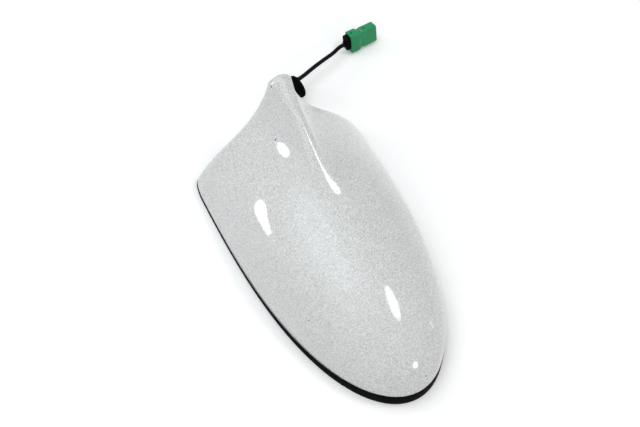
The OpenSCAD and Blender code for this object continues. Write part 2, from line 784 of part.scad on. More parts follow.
// Folded clip that joins the board to the coil's lower end
module contact_clip() color("gold") {
  touch_x = coil_x + (coil_d + wire_d) / 2 + 0.05;
  rise_x = coil_x + 9;
  touch_z = holder_z + 0.1;
  translate([0, 1.5, 0])
    rotate([90, 0, 0])
      linear_extrude(3)
        polygon([[rise_x, board_top], [rise_x + 4, board_top], [rise_x + 4, board_top + sheet_t],
          [rise_x + sheet_t, board_top + sheet_t], [rise_x + sheet_t, touch_z + 2 * sheet_t],
          [touch_x, touch_z + 2 * sheet_t], [touch_x, touch_z + sheet_t], [rise_x, touch_z + sheet_t]]);
}

// Rubber gland round the cable where it enters the base
module cable_gland() color("#1c1c1e") {
  on_gland_axis()
    difference() {
      rod(0, gland_l, gland_d / 2 - 0.02);
      rod(-1, gland_l + 1, gland_bore / 2);
    }
}

// End of the cable that the gland holds, up to its joint under the board
module inner_lead() color("#1a1b20") {
  intersection() {
    on_gland_axis()
      rod(0, lead_l + cable_d, cable_d / 2);
    translate([gland_mouth.x - 5, -cable_d, 0])
      cube([2 * lead_l, 2 * cable_d, board_z]);
  }
}

module cable() color("#1a1b20") swept_tube(route, cable_d / 2, 8);

// Rubber grommet for the roof hole: flange and barbed neck round an off-centre bore with a boot
module roof_grommet() color("#141414") {
  r = grommet_d / 2;
  neck_r = grommet_neck_d / 2;
  cable_r = cable_d / 2;
  translate(grommet_at)
    rotate([0, 90 - grommet_tilt, grommet_turn])
      difference() {
        union() {
          translate([grommet_drop, -grommet_shift, 0])
            rotate_extrude()
              polygon([[0, -grommet_neck_l - 1], [neck_r - 0.6, -grommet_neck_l - 1],
                [neck_r + 0.5, -grommet_neck_l + 0.8], [neck_r, -grommet_neck_l + 1.4], [neck_r, 0],
                [r - 0.5, 0], [r, 0.4], [r, grommet_t - 0.8], [r - 0.9, grommet_t], [0, grommet_t]]);
          cylinder(r1 = cable_r + 1.6, r2 = cable_r + 0.4, h = grommet_t + grommet_boot_l);
        }
        translate([0, 0, -grommet_neck_l - 2])
          cylinder(r = cable_r + fit_gap / 2, h = grommet_neck_l + grommet_t + grommet_boot_l + 3);
      }
}

// Places what is drawn from the connector's rear face, standing on the surface
module on_plug() {
  translate(plug_at)
    rotate([-plug_roll, 0, plug_turn])
      translate([0, 0, -plug_mid])
        children();
}

// Places a flat outline on the plane x = from, its X across the plug and its Y up, and extrudes it
module across_plug(from, to) {
  translate([from, 0, plug_mid])
    rotate([90, 0, 90])
      linear_extrude(to - from)
        children();
}

// Sleeve crimped on the cable's end, just inside the connector
module crimp_ferrule() color("silver") {
  on_plug()
    translate([0, 0, plug_mid])
      difference() {
        rod(seal_in, pocket_l, cable_d / 2 + 0.4);
        rod(0, pocket_l + 1, cable_d / 2 - 0.4);
      }
}

// Connector body: collar, waist and front block, cut from a side view and a plan
module connector_body() color("seagreen") {
  c = 0.7;
  w = plug_w / 2;
  s = plug_step;
  waist_x = plug_collar_l;
  block_x = plug_collar_l + 2.4;
  on_plug()
    difference() {
      intersection() {
        translate([0, w, 0])
          rotate([90, 0, 0])
            linear_extrude(plug_w)
              polygon([[0, c], [c, 0], [waist_x - 0.6, 0], [waist_x + 0.8, 2 * s], [block_x - 0.6, 2 * s],
                [block_x + 0.4, s], [plug_l - c, s], [plug_l, s + c], [plug_l, plug_h - s - c],
                [plug_l - c, plug_h - s], [block_x + 0.4, plug_h - s], [block_x - 0.6, plug_h - 2 * s],
                [waist_x + 0.8, plug_h - 2 * s], [waist_x - 0.6, plug_h], [c, plug_h], [0, plug_h - c]]);
        linear_extrude(plug_h)
          polygon([[0, c - w], [c, -w], [waist_x, -w], [waist_x + 0.8, s - w], [plug_l - c, s - w],
            [plug_l, s + c - w], [plug_l, w - s - c], [plug_l - c, w - s], [waist_x + 0.8, w - s],
            [waist_x, w], [c, w], [0, w - c]]);
      }
      across_plug(-1, pocket_l)
        stadium(plug_w - 1.8, plug_h - 3);
      across_plug(front_cavity_x, plug_l + 1)
        square([plug_w - 2 * s - 2, plug_h - 2 * s - 2.4], center = true);
      for (z = [-1, 1])
        translate([0, 0, plug_mid + z * contact_pitch / 2])
          rod(pocket_l - 1, plug_l, barrel_r + fit_gap / 2);
      for (x = [2.1, 10.2])
        translate([x, 0, plug_h - 1.1])
          cylinder(d = 1.3, h = 3, $fn = 24);
      translate([block_x - 0.4, -1.5, plug_h - 1.4])
        cube([1.2, 3, 3]);
    }
}

// Pale locking wedge in the connector's upper slot
module connector_lock() color("honeydew") {
  gap = fit_gap / 2;
  on_plug()
    translate([plug_collar_l + 2 + gap, gap - 1.5, plug_h - 1.4])
      cube([1.2 - 2 * gap, 3 - 2 * gap, 1.1 - plug_step]);
}

// Rubber seal behind the connector: an oval flange, a plug in the body's pocket and a tapered boot
module connector_seal() color("#121214") {
  on_plug() {
    across_plug(0, seal_in)
      stadium(plug_w - 1.8 - 2 * fit_gap, plug_h - 3 - 2 * fit_gap);
    across_plug(-seal_flange_t, 0)
      translate([0, seal_lift])
        stadium(plug_w - 0.6, plug_h - 2 * seal_lift - 0.4);
    translate([-seal_flange_t, 0, plug_mid])
      rotate([0, -90, 0])
        cylinder(r1 = plug_w / 2 - 0.4, r2 = cable_d / 2 + 0.5, h = seal_l - seal_flange_t);
  }
}

// Two contact barrels, seated in the connector's web
module contact_barrels() color("gold") {
  on_plug()
    for (z = [-1, 1])
      translate([0, 0, plug_mid + z * contact_pitch / 2])
        difference() {
          rod(pocket_l, front_cavity_x + 4, barrel_r);
          rod(front_cavity_x - 2, front_cavity_x + 5, contact_r);
        }
}

housing();
rim_gasket();
adhesive_pad();
base_plate();
base_screws();
threaded_insert();
circuit_board();
board_screws();
shield_can();
amplifier_chip();
capacitors();
ferrite_ring();
element_holder();
wire_coil();
top_plate();
contact_clip();
cable_gland();
inner_lead();
cable();
roof_grommet();
crimp_ferrule();
connector_body();
connector_lock();
connector_seal();
contact_barrels();
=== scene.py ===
"""Looks of the shark fin aerial: its finishes, its finer visible pieces, the camera and the light."""
import math

import bmesh
import bpy
from mathutils import Matrix, Vector
from mathutils.bvhtree import BVHTree


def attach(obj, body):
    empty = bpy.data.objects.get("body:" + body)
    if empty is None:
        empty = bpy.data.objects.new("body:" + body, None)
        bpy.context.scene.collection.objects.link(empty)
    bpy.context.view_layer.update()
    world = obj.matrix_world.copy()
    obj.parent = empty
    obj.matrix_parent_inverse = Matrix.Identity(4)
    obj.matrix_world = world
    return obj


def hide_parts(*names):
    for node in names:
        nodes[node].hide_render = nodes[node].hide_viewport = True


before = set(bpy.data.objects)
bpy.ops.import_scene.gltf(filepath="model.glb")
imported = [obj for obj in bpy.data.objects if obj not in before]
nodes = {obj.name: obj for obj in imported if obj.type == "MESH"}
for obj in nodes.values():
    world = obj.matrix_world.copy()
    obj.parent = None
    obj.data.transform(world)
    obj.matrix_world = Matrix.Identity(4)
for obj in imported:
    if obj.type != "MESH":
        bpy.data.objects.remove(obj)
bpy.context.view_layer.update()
MM = 0.001

# The camera of the photograph: target, direction, roll, distance, and focal length in its own pixels
TARGET = Vector((-27.0, 0.3, 15.0)) * MM
AZIMUTH, ELEVATION, ROLL = math.radians(-30.85), math.radians(55.65), math.radians(6.34)
DISTANCE = 810.2 * MM
FOCAL_PX = 1600.0
WIDTH, HEIGHT = 640, 427
SENSOR_MM = 36.0


def direction(azimuth, elevation):
    """Unit vector towards an azimuth and elevation in radians."""
    level = math.cos(elevation)
    return Vector((math.cos(azimuth) * level, math.sin(azimuth) * level, math.sin(elevation)))


back = direction(AZIMUTH, ELEVATION)
side = Vector((-math.sin(AZIMUTH), math.cos(AZIMUTH), 0.0))
above = back.cross(side)
cam_x = side * math.cos(ROLL) + above * math.sin(ROLL)
cam_y = -side * math.sin(ROLL) + above * math.cos(ROLL)
EYE = TARGET + back * DISTANCE


def make_camera():
    data = bpy.data.cameras.new("camera")
    data.sensor_width = SENSOR_MM
    data.lens = SENSOR_MM * FOCAL_PX / WIDTH
    data.clip_start = 0.02
    data.clip_end = 20.0
    camera = bpy.data.objects.new("camera", data)
    turn = Matrix((cam_x, cam_y, back)).transposed().to_4x4()
    camera.matrix_world = Matrix.Translation(EYE) @ turn
    bpy.context.scene.collection.objects.link(camera)
    bpy.context.scene.camera = camera


make_camera()


def pixel_ray(u, v):
    """Direction from the eye through a pixel of the photograph."""
    way = cam_x * ((u - WIDTH / 2) / FOCAL_PX) - cam_y * ((v - HEIGHT / 2) / FOCAL_PX) - back
    return way.normalized()


def new_object(name, data, body="root"):
    """A piece that rides on a body."""
    obj = bpy.data.objects.new(name, data)
    bpy.context.scene.collection.objects.link(obj)
    if body:
        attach(obj, body)
    return obj


def mesh_from(name, points, faces, flat=()):
    """A smooth mesh from points in millimetres; the faces numbered in flat stay flat."""
    mesh = bpy.data.meshes.new(name)
    mesh.from_pydata([tuple(c * MM for c in p) for p in points], [], faces)
    flat = set(flat)
    mesh.polygons.foreach_set("use_smooth", [i not in flat for i in range(len(faces))])
    mesh.update()
    return mesh


def turned(profile, place, steps=64):
    """Points and faces of a form turned round its own X axis from (x, r) pairs, set by a matrix."""
    points, faces = [], []
    for x, r in profile:
        for k in range(steps):
            a = 2 * math.pi * k / steps
            points.append(tuple(place @ Vector((x, r * math.cos(a), r * math.sin(a)))))
    for i in range(len(profile) - 1):
        for k in range(steps):
            a, b = i * steps + k, i * steps + (k + 1) % steps
            faces.append((a, a + steps, b + steps, b))
    return points, faces


def join_forms(name, forms):
    """One mesh from several forms, each a pair of points and faces."""
    points, faces = [], []
    for some, more in forms:
        start = len(points)
        points += some
        faces += [tuple(start + i for i in face) for face in more]
    return mesh_from(name, points, faces)


def finish_mesh(obj, angle=35.0):
    """Faces outwards, doubled points joined, and edges sharper than the angle kept crisp."""
    b = bmesh.new()
    b.from_mesh(obj.data)
    bmesh.ops.remove_doubles(b, verts=b.verts, dist=1e-6)
    bmesh.ops.recalc_face_normals(b, faces=b.faces)
    b.to_mesh(obj.data)
    b.free()
    obj.data.set_sharp_from_angle(angle=math.radians(angle))


# Materials

class Finish:
    """One procedural material: a principled shader and small helpers that wire its textures."""

    def __init__(self, name, colour, roughness, metallic=0.0, **settings):
        self.material = bpy.data.materials.new(name)
        self.material.use_nodes = True
        self.material.diffuse_color = (*colour, 1.0)
        self.tree = self.material.node_tree
        self.shader = self.tree.nodes["Principled BSDF"]
        self.shader.inputs["Base Color"].default_value = (*colour, 1.0)
        self.shader.inputs["Roughness"].default_value = roughness
        self.shader.inputs["Metallic"].default_value = metallic
        for key, value in settings.items():
            self.shader.inputs[key.replace("_", " ")].default_value = value
        self.colour = colour
        self.roughness = roughness
        self.place = self.node("ShaderNodeTexCoord").outputs["Object"]

    def node(self, kind, **values):
        made = self.tree.nodes.new(kind)
        for key, value in values.items():
            setattr(made, key, value)
        return made

    def join(self, start, end):
        self.tree.links.new(start, end)

    def noise(self, scale, detail=4.0, rough=0.55, stretch=None):
        tex = self.node("ShaderNodeTexNoise")
        tex.inputs["Scale"].default_value = scale
        tex.inputs["Detail"].default_value = detail
        tex.inputs["Roughness"].default_value = rough
        if stretch:
            mapping = self.node("ShaderNodeMapping")
            mapping.inputs["Scale"].default_value = stretch
            self.join(self.place, mapping.inputs["Vector"])
            self.join(mapping.outputs["Vector"], tex.inputs["Vector"])
        else:
            self.join(self.place, tex.inputs["Vector"])
        return tex.outputs["Fac"]

    def ramp(self, fac, stops):
        made = self.node("ShaderNodeValToRGB")
        elements = made.color_ramp.elements
        while len(elements) < len(stops):
            elements.new(0.5)
        for element, (at, colour) in zip(elements, stops):
            element.position = at
            element.color = (*colour, 1.0)
        self.join(fac, made.inputs["Fac"])
        return made.outputs["Color"]

    def span(self, fac, low, high, out_low, out_high):
        made = self.node("ShaderNodeMapRange")
        made.clamp = True
        for key, value in (("From Min", low), ("From Max", high), ("To Min", out_low), ("To Max", out_high)):
            made.inputs[key].default_value = value
        self.join(fac, made.inputs["Value"])
        return made.outputs["Result"]

    def vary(self, scale, amount, rough_amount=0.08, stretch=None):
        """Soft colour and roughness variation round the base values."""
        fac = self.noise(scale, stretch=stretch)
        dark = tuple(max(0.0, c * (1 - amount)) for c in self.colour)
        light = tuple(min(1.0, c * (1 + amount)) for c in self.colour)
        self.join(self.ramp(fac, [(0.3, dark), (0.7, light)]), self.shader.inputs["Base Color"])
        wear = self.noise(scale * 2.7, detail=6.0)
        low, high = max(0.02, self.roughness - rough_amount), min(1.0, self.roughness + rough_amount)
        self.join(self.span(wear, 0.3, 0.7, low, high), self.shader.inputs["Roughness"])
        return self

    def bump(self, height, strength, distance, into="Normal"):
        made = self.node("ShaderNodeBump")
        made.inputs["Strength"].default_value = strength
        made.inputs["Distance"].default_value = distance
        self.join(height, made.inputs["Height"])
        self.join(made.outputs["Normal"], self.shader.inputs[into])
        return self

    def grain(self, scale, strength, distance=0.0002, detail=3.0, stretch=None):
        return self.bump(self.noise(scale, detail=detail, stretch=stretch), strength, distance)


# Flakes of the pearl: how many to a metre, how far they lean, and their tints from dark to bright; the cyan
# and lavender are the pearl's own, while the wide spread from dark to bright is painted sparkle, glints put
# into the flakes' colour
FLAKES_PER_M = 3100.0
FLAKE_LEAN = 0.42
FLAKE_ROUGH, BRIGHT_FLAKE_ROUGH = 0.36, 0.20
FLAKE_TINTS_AND_PAINTED_SPARKLE = [
    (0.0, (0.40, 0.40, 0.395)),
    (0.2, (0.53, 0.53, 0.523)),
    (0.5, (0.62, 0.622, 0.615)),
    (0.74, (0.70, 0.70, 0.695)),
    (0.83, (0.73, 0.85, 0.85)),
    (0.91, (0.72, 0.72, 0.715)),
    (1.0, (0.93, 0.86, 1.0)),
]


def clouded(f, colour):
    """A colour under faint broad clouds."""
    cloud = f.ramp(f.noise(38.0, detail=3.0), [(0.35, (0.98, 0.985, 0.975)), (0.65, (1.0, 1.0, 1.0))])
    tint = f.node("ShaderNodeMix", data_type="RGBA", blend_type="MULTIPLY")
    tint.inputs["Factor"].default_value = 1.0
    f.join(colour, tint.inputs[6])
    f.join(cloud, tint.inputs[7])
    return tint.outputs[2]


def flake_normal(f, chance):
    """The surface's normal, leant by a random colour of each flake."""
    centred = f.node("ShaderNodeVectorMath", operation="SUBTRACT")
    centred.inputs[1].default_value = (0.5, 0.5, 0.5)
    f.join(chance, centred.inputs[0])
    lean = f.node("ShaderNodeVectorMath", operation="SCALE")
    lean.inputs["Scale"].default_value = FLAKE_LEAN
    f.join(centred.outputs[0], lean.inputs[0])
    total = f.node("ShaderNodeVectorMath", operation="ADD")
    f.join(f.node("ShaderNodeNewGeometry").outputs["Normal"], total.inputs[0])
    f.join(lean.outputs[0], total.inputs[1])
    unit = f.node("ShaderNodeVectorMath", operation="NORMALIZE")
    f.join(total.outputs[0], unit.inputs[0])
    return unit.outputs[0]


def pearl_paint():
    """Pearl white: flakes with cyan and lavender tints, and painted sparkle in the flakes' colour, under a
    clear coat.
    """
    coat = dict(Coat_Weight=1.0, Coat_Roughness=0.06, Coat_IOR=1.5)
    f = Finish("pearl_paint", (0.615, 0.62, 0.61), FLAKE_ROUGH, 0.0, Specular_IOR_Level=0.5, **coat)
    cells = f.node("ShaderNodeTexVoronoi")
    cells.inputs["Scale"].default_value = FLAKES_PER_M
    f.join(f.place, cells.inputs["Vector"])
    chance = cells.outputs["Color"]
    split = f.node("ShaderNodeSeparateColor")
    f.join(chance, split.inputs["Color"])
    # The flakes' colour holds painted sparkle: its brightest and darkest tints stand in for glints of the
    # flakes
    f.join(clouded(f, f.ramp(split.outputs["Red"], FLAKE_TINTS_AND_PAINTED_SPARKLE)), f.shader.inputs["Base Color"])
    f.join(flake_normal(f, chance), f.shader.inputs["Normal"])
    rough = f.span(split.outputs["Green"], 0.75, 1.0, FLAKE_ROUGH, BRIGHT_FLAKE_ROUGH)
    f.join(rough, f.shader.inputs["Roughness"])
    f.bump(f.noise(420.0, detail=1.5), 0.012, 0.0003, into="Coat Normal")
    return f.material


def rubber(name, colour, roughness, grain=2600.0):
    """Matt rubber or other dull dark stuff with a fine grain."""
    f = Finish(name, colour, roughness, 0.0, Specular_IOR_Level=0.02)
    return f.vary(140.0, 0.22, 0.10).grain(grain, 0.18, 0.00012).material


def plastic(name, colour, roughness, grain=1800.0, strength=0.12):
    """Moulded plastic with a fine spark-eroded grain."""
    f = Finish(name, colour, roughness)
    return f.vary(90.0, 0.07, 0.08).grain(grain, strength, 0.0001).material


def metal(name, colour, roughness, stretch=(1, 1, 1)):
    """Bare or plated metal with fine rubbing marks, drawn out by a stretch."""
    f = Finish(name, colour, roughness, 1.0)
    f.vary(240.0, 0.10, 0.10)
    return f.grain(1500.0, 0.16, 0.00006, stretch=stretch).material


def board_green():
    """Solder mask over fine copper runs."""
    f = Finish("board_green", (0.012, 0.105, 0.045), 0.32, 0.0, Coat_Weight=0.5, Coat_Roughness=0.15)
    runs = f.node("ShaderNodeTexBrick")
    runs.inputs["Scale"].default_value = 140.0
    runs.inputs["Mortar Size"].default_value = 0.035
    runs.inputs["Color1"].default_value = (0.011, 0.095, 0.040, 1)
    runs.inputs["Color2"].default_value = (0.014, 0.125, 0.052, 1)
    runs.inputs["Mortar"].default_value = (0.040, 0.200, 0.075, 1)
    f.join(f.place, runs.inputs["Vector"])
    f.join(runs.outputs["Color"], f.shader.inputs["Base Color"])
    f.join(f.span(f.noise(300.0), 0.3, 0.7, 0.26, 0.42), f.shader.inputs["Roughness"])
    f.bump(runs.outputs["Fac"], 0.25, 0.00006)
    return f.material


def foam():
    """Closed-cell foam tape: open pores in a dark grey sheet."""
    f = Finish("foam_tape", (0.030, 0.031, 0.033), 0.9, 0.0)
    f.vary(160.0, 0.25, 0.05)
    pores = f.node("ShaderNodeTexVoronoi")
    pores.inputs["Scale"].default_value = 1700.0
    f.join(f.place, pores.inputs["Vector"])
    return f.bump(pores.outputs["Distance"], 0.6, 0.0003).material


def cable_skin():
    """Extruded jacket: near black with a slight navy cast and faint draw marks."""
    f = Finish("cable_jacket", (0.0030, 0.0034, 0.0062), 0.42, 0.0, Specular_IOR_Level=0.08)
    return f.vary(220.0, 0.25, 0.08).grain(1900.0, 0.10, 0.0001).material


def connector_plastic(name, colour):
    """Moulded nylon with a soft sheen."""
    f = Finish(name, colour, 0.42, 0.0, Specular_IOR_Level=0.35)
    return f.vary(180.0, 0.09, 0.07).grain(2400.0, 0.14, 0.0001).material


PAINT = pearl_paint()
SHELL_IN = plastic("shell_inside", (0.47, 0.48, 0.465), 0.5)
RUBBER = rubber("black_rubber", (0.0024, 0.0025, 0.0028), 0.6)
PLASTIC = plastic("black_plastic", (0.016, 0.017, 0.018), 0.48)
FOAM = foam()
STEEL = metal("plated_steel", (0.60, 0.60, 0.58), 0.28)
BRASS = metal("brass", (0.70, 0.50, 0.20), 0.3)
BOARD = board_green()
TIN = metal("tinned_sheet", (0.66, 0.67, 0.67), 0.26, stretch=(6, 1, 1))
CHIP = plastic("chip_epoxy", (0.014, 0.014, 0.015), 0.6, 3200.0, 0.25)
CAN = metal("capacitor_can", (0.68, 0.69, 0.70), 0.22, stretch=(1, 1, 8))
FERRITE = rubber("ferrite", (0.028, 0.027, 0.027), 0.7, 3600.0)
NYLON = plastic("natural_nylon", (0.62, 0.58, 0.49), 0.42, 1500.0, 0.10)
COPPER = metal("copper_wire", (0.74, 0.33, 0.16), 0.24, stretch=(1, 1, 3))
JACKET = cable_skin()
GREEN = connector_plastic("connector_green", (0.010, 0.255, 0.098))
PALE = plastic("lock_pale", (0.20, 0.30, 0.22), 0.45)
GOLD = metal("gold_contact", (0.83, 0.60, 0.24), 0.2)
SPECK = rubber("dark_speck", (0.020, 0.017, 0.015), 0.7, 4200.0)

NODE_FINISH = {
    "housing": PAINT, "rim_gasket": RUBBER, "adhesive_pad": FOAM, "base_plate": PLASTIC,
    "base_screws": STEEL, "threaded_insert": BRASS, "circuit_board": BOARD, "board_screws": STEEL,
    "shield_can": TIN, "amplifier_chip": CHIP, "capacitors": CAN, "ferrite_ring": FERRITE,
    "element_holder": NYLON, "wire_coil": COPPER, "top_plate": TIN, "contact_clip": GOLD,
    "cable_gland": RUBBER, "inner_lead": JACKET, "cable": JACKET, "roof_grommet": RUBBER,
    "crimp_ferrule": BRASS, "connector_body": GREEN, "connector_lock": PALE,
    "connector_seal": RUBBER, "contact_barrels": GOLD,
}
for name, finish in NODE_FINISH.items():
    data = nodes[name].data
    data.materials.clear()
    data.materials.append(finish)


# Sizes of the solids, in millimetres, that the visible pieces follow

# Shell: outline in plan, walls, hood, fin and lip
LENGTH, WIDE, REAR_WIDE, WIDEST_BACK, FULLNESS, CORNER = 161.0, 94.8, 90.0, 14.0, 2.73, 4.0
WALL, HOOD, HOOD_REAR, HOOD_BACK, HOOD_FALL, HOOD_CLOSE = 2.2, 38.2, 28.6, 58.0, 2.0, 0.55
FIN, FIN_RUN, FIN_BLEND, RIDGE, WAIST, RIDGE_ROUND = 34.0, 64.0, 0.2, 6.0, 2.8, 2.5
CHEEK, REAR_EDGE = 8.5, 1.5
LIP_REAR, LIP_NOSE, RISE_FROM = 1.9, 7.4, 55.5
SOFT_RUN, BOW = 70.0, 70.0
REAR_X, NOSE_X, HALF = -LENGTH / 2, LENGTH / 2, WIDE / 2

# Gasket: flare past the shell, gap inside it, flange, and the notch for the cable
FLARE, EDGE_GAP, FOOT_W, FOOT_T = 0.3, 1.0, 9.0, 1.2
NOTCH, NOTCH_H = 3.6, 3.0
BASE_IN = FLARE + WALL + EDGE_GAP

# Screw posts and ribs inside the shell
POST_IN, POST_MID, POST_NOSE_IN = 14.0, 6.0, 18.5
POST_Z, POST_R, BORE_R, BORE_L = 5.8, 4.0, 1.55, 8.0
RIB_FIRST, RIB_PITCH, RIB_T, RIB_DEPTH, RIBS = 11.0, 25.0, 1.4, 7.0, 3

# Cable, grommet and connector, with the directions of the last two in degrees
CABLE_D = 2.2
GROMMET_TURN, GROMMET_TILT, GROMMET_DROP, GROMMET_SHIFT = 104.0, 4.0, 1.0, 2.8
GROMMET_R, GROMMET_T, GROMMET_NECK, GROMMET_BOOT = 6.6, 2.0, 4.0, 2.2
PLUG_TURN, PLUG_ROLL, PLUG_L, PLUG_H, PLUG_W, SEAL_L = 97.5, 14.0, 17.2, 11.6, 6.4, 3.0

# Where the grommet and the connector lie, standing on the roof plane
tilt, roll = math.radians(GROMMET_TILT), math.radians(PLUG_ROLL)
grommet_way = direction(math.radians(GROMMET_TURN), tilt)
grommet_at = Vector((-114.14, 26.13, (GROMMET_DROP + GROMMET_R) * math.cos(tilt)))
plug_way = direction(math.radians(PLUG_TURN), 0.0)
plug_at = Vector((-128.9, 67.25, PLUG_H / 2 * math.cos(roll) + PLUG_W / 2 * math.sin(roll)))


def placing(way, origin, degrees=0.0):
    """Matrix whose X axis runs along way and whose Z axis points up, then rolled about X."""
    across = Vector((0, 0, 1)).cross(way).normalized()
    turn = Matrix((way, across, way.cross(across))).transposed().to_4x4()
    return Matrix.Translation(origin) @ turn @ Matrix.Rotation(math.radians(degrees), 4, "X")


# Cable: the same route as the solid, from the gland to the connector's seal
def bend(start, end, way_start, way_end, steps):
    """Points of a smooth bend between two places, which leaves and arrives along the given ways."""
    reach = (end - start).length
    points = []
    for i in range(1, steps):
        t = i / steps
        leaving = (1 + 2 * t) * start + t * reach * way_start
        arriving = (3 - 2 * t) * end - (1 - t) * reach * way_end
        points.append((1 - t) ** 2 * leaving + t * t * arriving)
    return points


def cable_route():
    """The cable's points: under the base, behind the fin to the grommet, then over a crest to the seal."""
    under_z = CABLE_D / 2 + 0.1
    notch_at = Vector((REAR_X - 3.5, 0, under_z))
    neck_at = grommet_at - (GROMMET_NECK + 2) * grommet_way
    boot_at = grommet_at + (GROMMET_T + GROMMET_BOOT) * grommet_way
    crest_at, fall_at = Vector((-120, 43, 8)), Vector((-124.1, 54, 7.45))
    fall_way = (fall_at - crest_at).normalized() - Vector((0, 0, 0.04))
    level_way = Vector((fall_way.x, fall_way.y, 0))
    seal_at = plug_at - SEAL_L * plug_way
    last_bend = seal_at - 0.6 * plug_way
    route = [
        gland,
        gland + Vector((-2.2, 0, -0.8)),
        Vector((gland.x - 5, 0, under_z + 0.05)),
        Vector((gland.x - 8, 0, under_z)),
        Vector((REAR_X + 8.5, 0, under_z)),
        notch_at,
    ]
    route += bend(notch_at, neck_at, Vector((-1, 0, 0.04)), grommet_way, 9)
    route += [neck_at, grommet_at, boot_at]
    route += bend(boot_at, crest_at, grommet_way, level_way, 4) + [crest_at]
    route += bend(crest_at, fall_at, level_way, fall_way, 4) + [fall_at]
    route += bend(fall_at, last_bend, fall_way, plug_way, 6) + [last_bend, seal_at]
    return route


def make_cable(route):
    curve = bpy.data.curves.new("coaxial_cable", "CURVE")
    curve.dimensions = "3D"
    curve.bevel_depth = CABLE_D / 2 * MM
    curve.bevel_resolution = 8
    curve.resolution_u = 8
    curve.use_fill_caps = True
    line = curve.splines.new("BEZIER")
    line.bezier_points.add(len(route) - 1)
    for point, place in zip(line.bezier_points, route):
        point.co = place * MM
        point.handle_left_type = "AUTO"
        point.handle_right_type = "AUTO"
    curve.materials.append(JACKET)
    cable = new_object("coaxial_cable", curve)
    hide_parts("cable")
    return cable


gland = Vector((REAR_X + 24.5, 0, 2.9))
route = cable_route()
cable = make_cable(route)


def make_grommet():
    """A barbed neck and a flange with rounded rims, off the bore's centre, and a short boot."""
    r = GROMMET_R
    neck = [
        (-5.0, 0.0), (-5.0, 3.9), (-4.9, 4.3), (-4.6, 4.7), (-3.45, 5.5), (-3.2, 5.62),
        (-2.95, 5.6), (-2.75, 5.4), (-2.6, 5.2), (-0.4, 5.2), (-0.1, 5.3), (0.0, 5.6),
    ]
    flange = [
        (0.0, r - 0.7), (0.06, r - 0.4), (0.25, r - 0.12), (0.55, r), (1.2, r),
        (1.55, r - 0.12), (1.85, r - 0.45), (1.98, r - 0.95), (2.0, r - 1.5), (2.0, 0.0),
    ]
    boot = [
        (-5.3, 0.0), (-5.3, 1.9), (-5.2, 2.1), (-4.9, 2.2), (0.0, 2.6), (2.0, 2.5), (2.2, 2.2),
        (2.6, 1.95), (3.2, 1.75), (3.9, 1.55), (4.1, 1.42), (4.2, 1.3), (4.2, 1.05),
    ]
    bore_place = placing(grommet_way, grommet_at)
    disc_place = bore_place @ Matrix.Translation((0, -GROMMET_SHIFT, -GROMMET_DROP))
    forms = [turned(neck + flange, disc_place, 88), turned(boot, bore_place, 40)]
    piece = new_object("grommet_on_cable", join_forms("grommet_on_cable", forms))
    finish_mesh(piece, 50)
    piece.data.materials.append(RUBBER)
    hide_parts("roof_grommet")
    return piece


grommet = make_grommet()
plug_place = placing(plug_way, plug_at, -PLUG_ROLL) @ Matrix.Translation((0, 0, -PLUG_H / 2))


def rounded_section(x, half, low, high, r, steps=5):
    """A rectangle with round corners on the plane at x, as a ring of points."""
    r = min(r, half, (high - low) / 2)
    corners = ((half - r, high - r), (r - half, high - r), (r - half, low + r), (half - r, low + r))
    ring = []
    for k, (y, z) in enumerate(corners):
        for i in range(steps + 1):
            a = math.pi / 2 * (k + i / steps)
            ring.append(Vector((x, y + r * math.cos(a), z + r * math.sin(a))))
    return ring


def connector_rings():
    """Rings from the bottom of the rear pocket over the collar, the waist and the block into the mouth."""
    # Each row is a place along the connector, its insets from the sides and the levels, and a corner radius
    profile = [
        (3.2, 0.9, 1.5, 2.3), (0.15, 0.9, 1.5, 2.3), (0.0, 0.75, 1.2, 1.6), (0.0, 0.45, 0.5, 0.7),
        (0.12, 0.18, 0.2, 0.75), (0.45, 0.0, 0.0, 0.8), (5.2, 0.0, 0.0, 0.8), (5.6, 0.06, 0.1, 0.8),
        (6.0, 0.25, 0.45, 0.7), (6.35, 0.42, 0.85, 0.6), (6.7, 0.5, 1.0, 0.55), (7.6, 0.5, 1.0, 0.55),
        (8.0, 0.5, 0.85, 0.6), (8.4, 0.5, 0.58, 0.65), (8.8, 0.5, 0.5, 0.7), (16.5, 0.5, 0.5, 0.7),
        (16.95, 0.58, 0.6, 0.7), (17.15, 0.8, 0.85, 0.6), (PLUG_L, 1.0, 1.1, 0.5),
        (PLUG_L, 1.3, 1.5, 0.3), (17.0, 1.5, 1.7, 0.2), (8.4, 1.5, 1.7, 0.2),
    ]
    return [
        rounded_section(x, PLUG_W / 2 - aside, inset, PLUG_H - inset, r) for x, aside, inset, r in profile
    ]


def lofted(name, rings, place):
    """A closed mesh through rings of points in millimetres, with its two ends capped."""
    size = len(rings[0])
    b = bmesh.new()
    verts = [[b.verts.new(place @ p) for p in ring] for ring in rings]
    for near, far in zip(verts, verts[1:]):
        for k in range(size):
            b.faces.new((near[k], far[k], far[(k + 1) % size], near[(k + 1) % size]))
    b.faces.new(verts[0])
    b.faces.new(verts[-1][::-1])
    bmesh.ops.scale(b, vec=(MM, MM, MM), verts=b.verts)
    bmesh.ops.recalc_face_normals(b, faces=b.faces)
    mesh = bpy.data.meshes.new(name)
    b.to_mesh(mesh)
    b.free()
    return mesh


def connector_cutter(x, depth, slot=None):
    """A cutter that sinks a tapered round recess, or a slot of two half sizes, into the connector's top."""
    tall, r = 3.2, 0.65
    b = bmesh.new()
    if slot:
        bmesh.ops.create_cube(b, size=2.0)
        bmesh.ops.scale(b, vec=(*slot, tall / 2), verts=b.verts)
    else:
        bmesh.ops.create_cone(b, cap_ends=True, segments=24, radius1=r * 0.9, radius2=r * 1.1, depth=tall)
    lift = Matrix.Translation((x, 0, PLUG_H - depth + tall / 2))
    b.transform(Matrix.Scale(MM, 4) @ plug_place @ lift)
    data = bpy.data.meshes.new("cutter")
    b.to_mesh(data)
    b.free()
    cutter = bpy.data.objects.new("cutter", data)
    bpy.context.scene.collection.objects.link(cutter)
    return cutter


